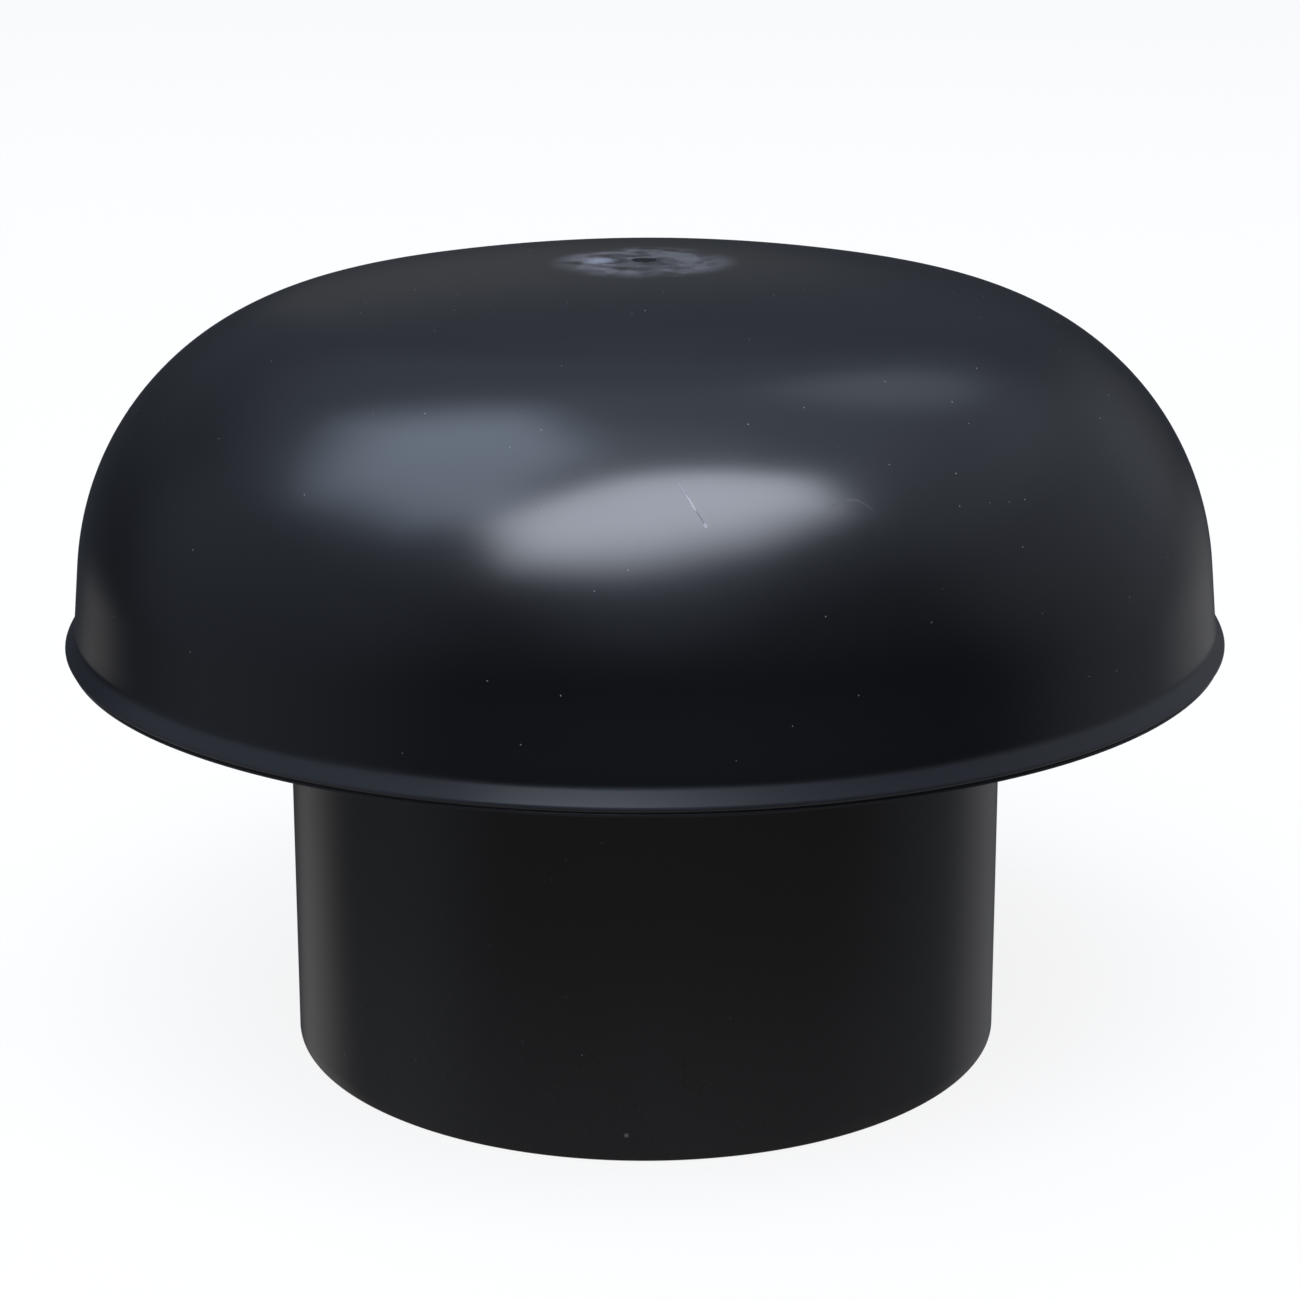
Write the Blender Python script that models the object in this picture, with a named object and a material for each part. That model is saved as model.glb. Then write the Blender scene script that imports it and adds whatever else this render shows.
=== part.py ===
"""Roof vent cover: a mushroom cowl whose collar pushes down over a 110 mm vent pipe.

The origin is the centre of the collar's foot and +Z points up the pipe. A domed hood stands on four lugs
at the top of the collar, held by screws driven up from below, and air leaves through the ring-shaped gap
between the collar and the hood. An insect screen lifts out of the top of the collar.
"""

import math

import bmesh
import bpy
from mathutils import Matrix, Vector

MM = 0.001

# Sides of round pieces, and the space between pieces
RING_SIDES = 64
POST_SIDES = 20
SCREW_SIDES = 16
WASHER_SIDES = 24
TOUCHING_GAP = 0.3 * MM
EMBED = 1.3 * MM  # how deep ribs, posts and lugs run into the wall that they grow from

# Pipe that the collar fits over
PIPE_RADIUS = 55.0 * MM
PIPE_CLEARANCE = 0.6 * MM
SOCKET_DEPTH = 60.0 * MM

# Collar
COLLAR_FOOT_RADIUS = 58.5 * MM
COLLAR_HEIGHT = 94.0 * MM
COLLAR_DRAFT = 0.006  # radius lost for each unit of height
MOUTH_BEVEL = 0.8 * MM
STOP_THICKNESS = 3.0 * MM
STOP_BORE_RADIUS = 51.5 * MM
UPPER_BORE_RADIUS = 54.9 * MM
GASKET_THICKNESS = 2.5 * MM

# Hood
RIM_RADIUS = 93.5 * MM
RIM_HEIGHT = 68.0 * MM  # height of the hood's lower edge
HOOD_WALL = 2.5 * MM
BEAD_WIDTH = 2.3 * MM
BEAD_HALF_HEIGHT = 1.55 * MM
LIP_HEIGHT = 0.3 * MM
LIP_RADIUS = 91.9 * MM
WALL_RADIUS = 91.1 * MM
WALL_HEIGHT = 9.5 * MM  # upright part of the wall, from the lower edge
SHOULDER_RADIUS = 46.0 * MM
CROWN_RADIUS = 275.0 * MM
GATE_RADIUS = 1.9 * MM
GATE_DEPTH = 0.8 * MM

# Posts in the hood and the lugs that they stand on
POST_CIRCLE_RADIUS = 64.0 * MM
POST_AZIMUTHS = [math.radians(45 + 90 * turn) for turn in range(4)]
POST_RADIUS = 4.5 * MM
WEB_THICKNESS = 2.0 * MM
WEB_INNER_HEIGHT = 100.0 * MM
WEB_OUTER_HEIGHT = 90.0 * MM
LUG_THICKNESS = 4.0 * MM
LUG_HALF_WIDTH = 7.5 * MM
LUG_HOLE_RADIUS = 2.4 * MM
GUSSET_THICKNESS = 1.8 * MM
GUSSET_DEPTH = 14.0 * MM

# Screws and washers
SCREW_LENGTH = 16.0 * MM
SCREW_SHANK_RADIUS = 1.95 * MM
SCREW_TIP_LENGTH = 3.5 * MM
SCREW_HEAD_RADIUS = 3.75 * MM
SCREW_HEAD_HEIGHT = 2.7 * MM
RECESS_LENGTH = 4.2 * MM
RECESS_WIDTH = 1.1 * MM
RECESS_DEPTH = 1.5 * MM
PILOT_RADIUS = SCREW_SHANK_RADIUS + TOUCHING_GAP
PILOT_SPARE_DEPTH = 2.0 * MM
WASHER_RADIUS = 4.5 * MM
WASHER_HOLE_RADIUS = 2.25 * MM
WASHER_THICKNESS = 0.8 * MM

# Insect screen
SCREEN_LIP_RADIUS = 57.4 * MM
SCREEN_LIP_THICKNESS = 2.0 * MM
SCREEN_SKIRT_RADIUS = 54.4 * MM
SCREEN_SKIRT_DEPTH = 6.3 * MM
SCREEN_POCKET_RADIUS = 52.6 * MM
SCREEN_BORE_RADIUS = 50.5 * MM
SCREEN_LEDGE_THICKNESS = 2.0 * MM
MESH_THICKNESS = 0.6 * MM
MESH_PITCH = 5.0 * MM
MESH_BAR_WIDTH = 1.8 * MM
MESH_SLOT_WIDTH = MESH_PITCH - MESH_BAR_WIDTH
RETAINER_THICKNESS = 2.0 * MM

# Heights that follow from the dimensions above
STOP_TOP = SOCKET_DEPTH + STOP_THICKNESS
LUG_UNDERSIDE = COLLAR_HEIGHT - LUG_THICKNESS
WASHER_TOP = LUG_UNDERSIDE - TOUCHING_GAP
SCREW_SEAT = WASHER_TOP - WASHER_THICKNESS - TOUCHING_GAP
POST_FOOT = COLLAR_HEIGHT + TOUCHING_GAP
SCREEN_SEAT = COLLAR_HEIGHT + TOUCHING_GAP
SCREEN_LEDGE_TOP = SCREEN_SEAT - SCREEN_SKIRT_DEPTH + SCREEN_LEDGE_THICKNESS
MESH_UNDERSIDE = SCREEN_LEDGE_TOP + TOUCHING_GAP
RETAINER_UNDERSIDE = MESH_UNDERSIDE + MESH_THICKNESS + TOUCHING_GAP

# The dome is a crown arc that runs smoothly into a shoulder arc
SHOULDER_CENTRE_RADIUS = WALL_RADIUS - SHOULDER_RADIUS
SHOULDER_CENTRE_HEIGHT = RIM_HEIGHT + WALL_HEIGHT
CROWN_CENTRE_DROP = math.sqrt((CROWN_RADIUS - SHOULDER_RADIUS) ** 2 - SHOULDER_CENTRE_RADIUS**2)
CROWN_CENTRE_HEIGHT = SHOULDER_CENTRE_HEIGHT - CROWN_CENTRE_DROP
ARC_JUNCTION = math.atan2(CROWN_CENTRE_DROP, SHOULDER_CENTRE_RADIUS)


def clear_scene():
    for item in list(bpy.data.objects):
        bpy.data.objects.remove(item, do_unlink=True)


def make_material(name, colour, roughness, metallic=0.0):
    material = bpy.data.materials.new(name)
    material.use_nodes = True
    shader = material.node_tree.nodes["Principled BSDF"]
    shader.inputs["Base Color"].default_value = (*colour, 1.0)
    shader.inputs["Roughness"].default_value = roughness
    shader.inputs["Metallic"].default_value = metallic
    material.diffuse_color = (*colour, 1.0)
    return material


def make_empty(name, parent=None):
    empty = bpy.data.objects.new(name, None)
    empty.empty_display_size = 10 * MM
    empty.parent = parent
    bpy.context.scene.collection.objects.link(empty)
    return empty


def finish_mesh(name, bm, sharp_angle=30):
    bmesh.ops.recalc_face_normals(bm, faces=bm.faces)
    mesh = bpy.data.meshes.new(name)
    bm.to_mesh(mesh)
    bm.free()
    mesh.shade_smooth()
    mesh.set_sharp_from_angle(angle=math.radians(sharp_angle))
    return mesh


def place(name, mesh, parent, material=None, location=(0, 0, 0), azimuth=0.0):
    piece = bpy.data.objects.new(name, mesh)
    bpy.context.scene.collection.objects.link(piece)
    if material and not mesh.materials:
        mesh.materials.append(material)
    piece.parent = parent
    piece.location = location
    piece.rotation_euler.z = azimuth
    return piece


def combine(piece, operation, name, bm):
    """Adds or cuts the solids in bm with a Boolean whose other object stays as a hidden guide."""
    guide = place(name, finish_mesh(name, bm), piece.parent)
    guide.hide_render = True
    guide.display_type = "WIRE"
    modifier = piece.modifiers.new(name, "BOOLEAN")
    modifier.operation = operation
    modifier.object = guide
    modifier.solver = "EXACT"


def arc(centre, radius_across, radius_up, start, end, steps):
    """Points on an elliptical arc in the (radius, height) plane, from the start angle to the end angle."""
    angles = [start + (end - start) * step / steps for step in range(steps + 1)]
    return [
        (centre[0] + radius_across * math.cos(angle), centre[1] + radius_up * math.sin(angle))
        for angle in angles
    ]


def turned(points, sides=RING_SIDES, closed=True):
    """Spins a (radius, height) outline about +Z. An open outline starts and ends on the axis."""
    bm = bmesh.new()
    verts = [bm.verts.new((radius, 0, height)) for radius, height in points]
    edges = [bm.edges.new(pair) for pair in zip(verts, verts[1:])]
    if closed:
        edges.append(bm.edges.new((verts[-1], verts[0])))
    bmesh.ops.spin(
        bm, geom=verts + edges, cent=(0, 0, 0), axis=(0, 0, 1), angle=math.tau, steps=sides, use_merge=True
    )
    bmesh.ops.remove_doubles(bm, verts=bm.verts, dist=0.001 * MM)
    return bm


def add_prism(bm, corners, sweep, azimuth=0.0):
    """Adds the solid that a flat outline fills as it moves along sweep, turned about +Z."""
    face = bm.faces.new([bm.verts.new(corner) for corner in corners])
    extruded = bmesh.ops.extrude_face_region(bm, geom=[face], use_keep_orig=True)["geom"]
    moved = [item for item in extruded if isinstance(item, bmesh.types.BMVert)]
    bmesh.ops.translate(bm, verts=moved, vec=sweep)
    turn = Matrix.Rotation(azimuth, 3, "Z")
    bmesh.ops.rotate(bm, verts=moved + list(face.verts), cent=(0, 0, 0), matrix=turn)


def add_rod(bm, radius, low, high, sides, azimuth):
    """Adds an upright round rod on the post circle, and returns its vertices."""
    centre = Matrix.Rotation(azimuth, 4, "Z") @ Matrix.Translation((POST_CIRCLE_RADIUS, 0, (low + high) / 2))
    rod = bmesh.ops.create_cone(
        bm,
        cap_ends=True,
        cap_tris=True,
        segments=sides,
        radius1=radius,
        radius2=radius,
        depth=high - low,
        matrix=centre,
    )
    return rod["verts"]


def post_location(azimuth, height):
    return (POST_CIRCLE_RADIUS * math.cos(azimuth), POST_CIRCLE_RADIUS * math.sin(azimuth), height)


def collar_radius(height):
    return COLLAR_FOOT_RADIUS - COLLAR_DRAFT * height


def dome_outline(depth, crown_steps, shoulder_steps):
    """The dome's outline, depth below its outer surface, from the axis out to the upright wall."""
    crown_centre = (0, CROWN_CENTRE_HEIGHT)
    crown_radius = CROWN_RADIUS - depth
    crown = arc(crown_centre, crown_radius, crown_radius, math.pi / 2, ARC_JUNCTION, crown_steps)
    shoulder_centre = (SHOULDER_CENTRE_RADIUS, SHOULDER_CENTRE_HEIGHT)
    shoulder_radius = SHOULDER_RADIUS - depth
    shoulder = arc(shoulder_centre, shoulder_radius, shoulder_radius, ARC_JUNCTION, 0, shoulder_steps)
    return crown + shoulder[1:]


def dome_height(radius, depth):
    """Height of the shoulder's surface, depth below its outside, at a distance from the axis."""
    across = radius - SHOULDER_CENTRE_RADIUS
    return SHOULDER_CENTRE_HEIGHT + math.sqrt((SHOULDER_RADIUS - depth) ** 2 - across**2)


def hood_outline():
    outer = dome_outline(0, 6, 12)
    top = outer[0][1]
    gate = [(0, top - GATE_DEPTH), (0.6 * GATE_RADIUS, top - 0.8 * GATE_DEPTH), (GATE_RADIUS, top)]
    bead_centre = (RIM_RADIUS - BEAD_WIDTH, RIM_HEIGHT + LIP_HEIGHT + BEAD_HALF_HEIGHT)
    bead_top = arc(bead_centre, BEAD_WIDTH, BEAD_HALF_HEIGHT, math.pi / 2, 0, 4)
    bead_underside = arc(bead_centre, BEAD_WIDTH, BEAD_HALF_HEIGHT, 0, math.radians(-65), 3)
    lower_edge = [(LIP_RADIUS, RIM_HEIGHT), (WALL_RADIUS - HOOD_WALL, RIM_HEIGHT)]
    inner = dome_outline(HOOD_WALL, 3, 8)
    return gate + outer[1:] + bead_top + bead_underside[1:] + lower_edge + inner[::-1]


def make_hood(parent, material):
    hood = place("hood", finish_mesh("hood", turned(hood_outline(), closed=False)), parent, material)

    webs = bmesh.new()
    centre = (SHOULDER_CENTRE_RADIUS, SHOULDER_CENTRE_HEIGHT)
    buried_radius = SHOULDER_RADIUS - EMBED
    wall_end = math.asin((WEB_OUTER_HEIGHT - SHOULDER_CENTRE_HEIGHT) / buried_radius)
    post_end = math.acos((POST_CIRCLE_RADIUS - SHOULDER_CENTRE_RADIUS) / buried_radius)
    buried_edge = arc(centre, buried_radius, buried_radius, wall_end, post_end, 8)
    web = [(POST_CIRCLE_RADIUS, WEB_INNER_HEIGHT), *buried_edge]
    for azimuth in POST_AZIMUTHS:
        corners = [(x, -WEB_THICKNESS / 2, z) for x, z in web]
        add_prism(webs, corners, (0, WEB_THICKNESS, 0), azimuth)
    combine(hood, "UNION", "hood_webs", webs)

    posts = bmesh.new()
    post_top = dome_height(POST_CIRCLE_RADIUS, EMBED)
    for azimuth in POST_AZIMUTHS:
        for vert in add_rod(posts, POST_RADIUS, POST_FOOT, post_top, POST_SIDES, azimuth):
            if vert.co.z > WEB_INNER_HEIGHT:
                vert.co.z = dome_height(math.hypot(vert.co.x, vert.co.y), EMBED)
    combine(hood, "UNION", "hood_posts", posts)

    pilots = bmesh.new()
    pilot_end = SCREW_SEAT + SCREW_LENGTH + PILOT_SPARE_DEPTH
    for azimuth in POST_AZIMUTHS:
        add_rod(pilots, PILOT_RADIUS, POST_FOOT - PILOT_SPARE_DEPTH, pilot_end, SCREW_SIDES, azimuth)
    combine(hood, "DIFFERENCE", "hood_pilot_holes", pilots)


def collar_outline():
    mouth_radius = PIPE_RADIUS + PIPE_CLEARANCE
    return [
        (collar_radius(0), 0),
        (collar_radius(COLLAR_HEIGHT), COLLAR_HEIGHT),
        (UPPER_BORE_RADIUS, COLLAR_HEIGHT),
        (UPPER_BORE_RADIUS, STOP_TOP),
        (STOP_BORE_RADIUS, STOP_TOP),
        (STOP_BORE_RADIUS, SOCKET_DEPTH),
        (mouth_radius - COLLAR_DRAFT * SOCKET_DEPTH, SOCKET_DEPTH),
        (mouth_radius, MOUTH_BEVEL),
        (mouth_radius + MOUTH_BEVEL, 0),
    ]


def make_collar(parent, material):
    collar = place("collar", finish_mesh("collar", turned(collar_outline())), parent, material)
    root = collar_radius(COLLAR_HEIGHT) - EMBED

    lugs = bmesh.new()
    for azimuth in POST_AZIMUTHS:
        tip = arc((POST_CIRCLE_RADIUS, 0), LUG_HALF_WIDTH, LUG_HALF_WIDTH, -math.pi / 2, math.pi / 2, 10)
        outline = [(root, -LUG_HALF_WIDTH), *tip, (root, LUG_HALF_WIDTH)]
        corners = [(x, y, LUG_UNDERSIDE) for x, y in outline]
        add_prism(lugs, corners, (0, 0, LUG_THICKNESS - 0.05 * MM), azimuth)
    combine(collar, "UNION", "collar_lugs", lugs)

    gussets = bmesh.new()
    for azimuth in POST_AZIMUTHS:
        for side in (-1, 1):
            middle = side * (LUG_HALF_WIDTH - 0.1 * MM - GUSSET_THICKNESS / 2)
            top = LUG_UNDERSIDE + LUG_THICKNESS / 2
            outer = POST_CIRCLE_RADIUS - 1 * MM
            shape = [(root, top), (outer, top), (outer, LUG_UNDERSIDE - 1 * MM), (root, top - GUSSET_DEPTH)]
            corners = [(x, middle - GUSSET_THICKNESS / 2, z) for x, z in shape]
            add_prism(gussets, corners, (0, GUSSET_THICKNESS, 0), azimuth)
    combine(collar, "UNION", "collar_gussets", gussets)

    holes = bmesh.new()
    for azimuth in POST_AZIMUTHS:
        low = LUG_UNDERSIDE - LUG_THICKNESS
        high = COLLAR_HEIGHT + LUG_THICKNESS
        add_rod(holes, LUG_HOLE_RADIUS, low, high, SCREW_SIDES, azimuth)
    combine(collar, "DIFFERENCE", "collar_lug_holes", holes)


def make_stop_gasket(parent, material):
    top = SOCKET_DEPTH - TOUCHING_GAP
    low = top - GASKET_THICKNESS
    outer = PIPE_RADIUS - 0.1 * MM
    inner = STOP_BORE_RADIUS + TOUCHING_GAP
    outline = [(outer, low), (outer, top), (inner, top), (inner, low)]
    place("stop_gasket", finish_mesh("stop_gasket", turned(outline)), parent, material)


def screw_outline():
    """Half outline of a screw whose head hangs below its origin and whose point is up."""
    head = arc((0, 0), SCREW_HEAD_RADIUS, SCREW_HEAD_HEIGHT, -math.pi / 2, 0, 6)
    shank_top = SCREW_LENGTH - SCREW_TIP_LENGTH
    return head + [(SCREW_SHANK_RADIUS, 0), (SCREW_SHANK_RADIUS, shank_top), (0, SCREW_LENGTH)]


def screw_mesh():
    """Screw with a cross recess in its head, baked to a mesh that all the screws share."""
    blank_mesh = finish_mesh("screw_blank", turned(screw_outline(), SCREW_SIDES, closed=False))
    blank = place("screw_blank", blank_mesh, None)
    half_length = RECESS_LENGTH / 2
    half_width = RECESS_WIDTH / 2
    quarter = [(half_width, half_width), (half_length, half_width), (half_length, -half_width)]
    cross = []
    for turn in range(4):
        spin = Matrix.Rotation(-math.pi / 2 * turn, 2)
        cross += [spin @ Vector(corner) for corner in quarter]
    low = -SCREW_HEAD_HEIGHT - RECESS_DEPTH
    recess = bmesh.new()
    add_prism(recess, [(x, y, low) for x, y in cross], (0, 0, 2 * RECESS_DEPTH))
    combine(blank, "DIFFERENCE", "screw_recess", recess)
    mesh = bpy.data.meshes.new_from_object(blank.evaluated_get(bpy.context.evaluated_depsgraph_get()))
    for used in (blank, bpy.data.objects["screw_recess"]):
        bpy.data.objects.remove(used, do_unlink=True)
    return mesh


def washer_mesh():
    outline = [
        (WASHER_RADIUS, 0),
        (WASHER_RADIUS, WASHER_THICKNESS),
        (WASHER_HOLE_RADIUS, WASHER_THICKNESS),
        (WASHER_HOLE_RADIUS, 0),
    ]
    return finish_mesh("screw_washer", turned(outline, WASHER_SIDES))


def make_fasteners(parent, material):
    screw = screw_mesh()
    washer = washer_mesh()
    washer_height = WASHER_TOP - WASHER_THICKNESS
    for number, azimuth in enumerate(POST_AZIMUTHS, start=1):
        place(f"hood_screw_{number}", screw, parent, material, post_location(azimuth, SCREW_SEAT), azimuth)
        place(f"screw_washer_{number}", washer, parent, material, post_location(azimuth, washer_height))


def make_screen_frame(parent, material):
    skirt_foot = SCREEN_LEDGE_TOP - SCREEN_LEDGE_THICKNESS
    lip_top = SCREEN_SEAT + SCREEN_LIP_THICKNESS
    outline = [
        (SCREEN_SKIRT_RADIUS, skirt_foot),
        (SCREEN_SKIRT_RADIUS, SCREEN_SEAT),
        (SCREEN_LIP_RADIUS, SCREEN_SEAT),
        (SCREEN_LIP_RADIUS, lip_top),
        (SCREEN_POCKET_RADIUS, lip_top),
        (SCREEN_POCKET_RADIUS, SCREEN_LEDGE_TOP),
        (SCREEN_BORE_RADIUS, SCREEN_LEDGE_TOP),
        (SCREEN_BORE_RADIUS, skirt_foot),
    ]
    place("screen_frame", finish_mesh("screen_frame", turned(outline)), parent, material)


def make_screen_mesh(parent, material):
    """A disc with narrow slots, which stands for the woven mesh."""
    radius = SCREEN_POCKET_RADIUS - TOUCHING_GAP
    top = MESH_UNDERSIDE + MESH_THICKNESS
    disc = turned([(0, MESH_UNDERSIDE), (radius, MESH_UNDERSIDE), (radius, top), (0, top)], closed=False)
    screen = place("screen_mesh", finish_mesh("screen_mesh", disc), parent, material)

    slots = bmesh.new()
    reach = SCREEN_BORE_RADIUS - MESH_BAR_WIDTH
    rows = int((reach - MESH_SLOT_WIDTH / 2) / MESH_PITCH)
    low = MESH_UNDERSIDE - MESH_THICKNESS
    for row in range(-rows, rows + 1):
        near = row * MESH_PITCH - MESH_SLOT_WIDTH / 2
        far = near + MESH_SLOT_WIDTH
        end = math.sqrt(reach**2 - max(abs(near), abs(far)) ** 2)
        for side in (-1, 1):
            inner = side * MESH_BAR_WIDTH / 2
            outer = side * end
            corners = [(inner, near, low), (outer, near, low), (outer, far, low), (inner, far, low)]
            add_prism(slots, corners, (0, 0, 3 * MESH_THICKNESS))
    combine(screen, "DIFFERENCE", "screen_mesh_slots", slots)


def make_screen_retainer(parent, material):
    outer = SCREEN_POCKET_RADIUS - TOUCHING_GAP
    top = RETAINER_UNDERSIDE + RETAINER_THICKNESS
    outline = [
        (outer, RETAINER_UNDERSIDE),
        (outer, top),
        (SCREEN_BORE_RADIUS, top),
        (SCREEN_BORE_RADIUS, RETAINER_UNDERSIDE),
    ]
    place("screen_retainer", finish_mesh("screen_retainer", turned(outline)), parent, material)


def main():
    clear_scene()
    cover = make_empty("vent_cover")
    hood_lift = make_empty("hood_lift_axis", cover)
    screen_lift = make_empty("screen_lift_axis", cover)

    hood_plastic = make_material("hood_plastic", (0.012, 0.013, 0.015), 0.33)
    collar_plastic = make_material("collar_plastic", (0.011, 0.011, 0.012), 0.38)
    screen_plastic = make_material("screen_plastic", (0.02, 0.02, 0.02), 0.5)
    mesh_steel = make_material("mesh_steel", (0.55, 0.55, 0.56), 0.35, 1.0)
    screw_steel = make_material("screw_steel", (0.6, 0.6, 0.61), 0.3, 1.0)
    foam_rubber = make_material("foam_rubber", (0.03, 0.03, 0.03), 0.9)

    make_collar(cover, collar_plastic)
    make_stop_gasket(cover, foam_rubber)
    make_fasteners(cover, screw_steel)
    make_hood(hood_lift, hood_plastic)
    make_screen_frame(screen_lift, screen_plastic)
    make_screen_mesh(screen_lift, mesh_steel)
    make_screen_retainer(screen_lift, screen_plastic)


main()
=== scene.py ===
"""Looks of the roof vent cover: a satin black mushroom cowl whose collar holds an insect screen.

Each piece is turned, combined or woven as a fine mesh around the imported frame, and rides on its body. Lengths
are in metres, and the row frame's origin is the centre of the collar's foot.
"""

import math

import bmesh
import bpy
from mathutils import Matrix, Vector, noise


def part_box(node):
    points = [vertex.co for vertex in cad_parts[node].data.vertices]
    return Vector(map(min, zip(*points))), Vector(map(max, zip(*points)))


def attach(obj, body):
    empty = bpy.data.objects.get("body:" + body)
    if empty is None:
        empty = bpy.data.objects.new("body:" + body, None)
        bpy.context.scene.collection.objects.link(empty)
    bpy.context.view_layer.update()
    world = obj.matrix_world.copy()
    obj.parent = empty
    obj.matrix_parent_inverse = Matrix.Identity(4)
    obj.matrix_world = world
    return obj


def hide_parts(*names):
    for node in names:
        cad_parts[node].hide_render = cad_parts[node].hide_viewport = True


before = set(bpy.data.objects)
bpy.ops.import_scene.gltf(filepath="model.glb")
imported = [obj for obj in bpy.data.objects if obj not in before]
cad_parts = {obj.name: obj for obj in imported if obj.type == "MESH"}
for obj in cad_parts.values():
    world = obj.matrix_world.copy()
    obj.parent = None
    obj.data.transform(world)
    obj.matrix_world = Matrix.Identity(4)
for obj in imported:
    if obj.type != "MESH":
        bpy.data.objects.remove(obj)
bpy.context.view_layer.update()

MM = 0.001
EMBED = 1.3 * MM  # how deep ribs, posts and lugs run into the wall that they grow from

# Places and sizes that the frame gives
hood_low, hood_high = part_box("hood")
_, collar_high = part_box("collar")
gasket_low, gasket_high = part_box("stop_gasket")
frame_low, frame_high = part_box("screen_frame")
mesh_low, mesh_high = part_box("screen_mesh")
retainer_low, retainer_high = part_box("screen_retainer")
screw_low, screw_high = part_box("hood_screw_1")
washer_low, washer_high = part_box("screw_washer_1")
RIM_RADIUS = hood_high.x
RIM_HEIGHT = hood_low.z
CROWN_HEIGHT = hood_high.z
COLLAR_FOOT_RADIUS = collar_high.x
COLLAR_HEIGHT = collar_high.z

# Hood
SHELL_SIDES = 256  # flats round the hood, the collar and the screen's rings
HOOD_WALL = 2.5 * MM
BEAD_WIDTH = 1.6 * MM
BEAD_HEIGHT = 4.0 * MM
BEAD_FILLET = 2.5 * MM
LIP_HEIGHT = 0.4 * MM
LIP_INSET = 0.55 * MM
WALL_RADIUS = RIM_RADIUS - 2.4 * MM
WALL_HEIGHT = 9.5 * MM
WALL_DRAFT = math.radians(5.8)
SHOULDER_RADIUS = 46.0 * MM
CROWN_RADIUS = 275.0 * MM
GATE_RADIUS = 1.9 * MM
GATE_DEPTH = 1.3 * MM
GATE_RELIEF_RADIUS = 16.0 * MM
GATE_RELIEF_HEIGHT = 0.20 * MM
WAVE_HEIGHT = 0.11 * MM
WAVE_LENGTH = 46.0 * MM
RIPPLE_HEIGHT = 0.02 * MM
RIPPLE_LENGTH = 17.0 * MM
SHOULDER_CENTRE_RADIUS = WALL_RADIUS - SHOULDER_RADIUS
SHOULDER_CENTRE_HEIGHT = RIM_HEIGHT + WALL_HEIGHT
CROWN_CENTRE_DROP = math.sqrt((CROWN_RADIUS - SHOULDER_RADIUS) ** 2 - SHOULDER_CENTRE_RADIUS**2)
CROWN_CENTRE_HEIGHT = SHOULDER_CENTRE_HEIGHT - CROWN_CENTRE_DROP
ARC_JUNCTION = math.atan2(CROWN_CENTRE_DROP, SHOULDER_CENTRE_RADIUS)

# Posts, webs and lugs
POST_AZIMUTHS = [math.radians(45 + 90 * turn) for turn in range(4)]
POST_CIRCLE_RADIUS = ((screw_low + screw_high) / 2).xy.length
POST_RADIUS = 4.5 * MM
POST_FOOT = COLLAR_HEIGHT + 0.3 * MM
WEB_THICKNESS = 2.0 * MM
WEB_INNER_HEIGHT = 100.0 * MM
WEB_OUTER_HEIGHT = 90.0 * MM
POST_TOP = WEB_INNER_HEIGHT + 4.0 * MM  # before the top is laid against the dome
LUG_THICKNESS = 4.0 * MM
LUG_HALF_WIDTH = 7.5 * MM
LUG_HOLE_RADIUS = 2.4 * MM
LUG_UNDERSIDE = COLLAR_HEIGHT - LUG_THICKNESS
GUSSET_THICKNESS = 1.8 * MM
GUSSET_DEPTH = 14.0 * MM

# Collar
COLLAR_DRAFT = 0.006
COLLAR_ROWS = 40  # rows of faces up the outside, close enough that the lugs leave no shading streaks
PIPE_BORE_RADIUS = 55.6 * MM
SOCKET_DEPTH = 60.0 * MM
STOP_TOP = 63.0 * MM
STOP_BORE_RADIUS = 51.5 * MM
UPPER_BORE_RADIUS = 54.9 * MM
MOUTH_BEVEL = 0.8 * MM

# Screws and washers
SCREW_HEAD_HEIGHT = 2.7 * MM
SCREW_HEAD_RADIUS = 3.75 * MM
SCREW_SEAT = screw_low.z + SCREW_HEAD_HEIGHT
SCREW_LENGTH = screw_high.z - SCREW_SEAT
SCREW_TIP_LENGTH = 3.5 * MM
THREAD_RADIUS = 1.95 * MM
THREAD_ROOT_RADIUS = 1.45 * MM
THREAD_PITCH = 1.4 * MM
THREAD_HALF_WIDTH = 0.34  # at its root, as a part of the pitch
RECESS_REACH = 2.1 * MM
RECESS_HALF_WIDTH = 0.5 * MM
RECESS_DEPTH = 1.5 * MM
PILOT_RADIUS = THREAD_RADIUS + 0.3 * MM
PILOT_END = screw_high.z + 2.0 * MM
WASHER_HOLE_RADIUS = 2.25 * MM

# Insect screen
SKIRT_RADIUS = 54.4 * MM
POCKET_RADIUS = 52.6 * MM
SCREEN_BORE_RADIUS = 50.5 * MM
LEDGE_THICKNESS = 2.0 * MM
SCREEN_LIP_THICKNESS = 2.0 * MM
WIRE_PITCH = 1.8 * MM
WIRE_RADIUS = 0.14 * MM


# ---------------------------------------------------------------- shapes


def arc(centre, radius, start, end, steps):
    """Points on an arc in a plane, from the start angle to the end angle."""
    angles = [start + (end - start) * step / steps for step in range(steps + 1)]
    return [(centre[0] + radius * math.cos(angle), centre[1] + radius * math.sin(angle)) for angle in angles]


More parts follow.
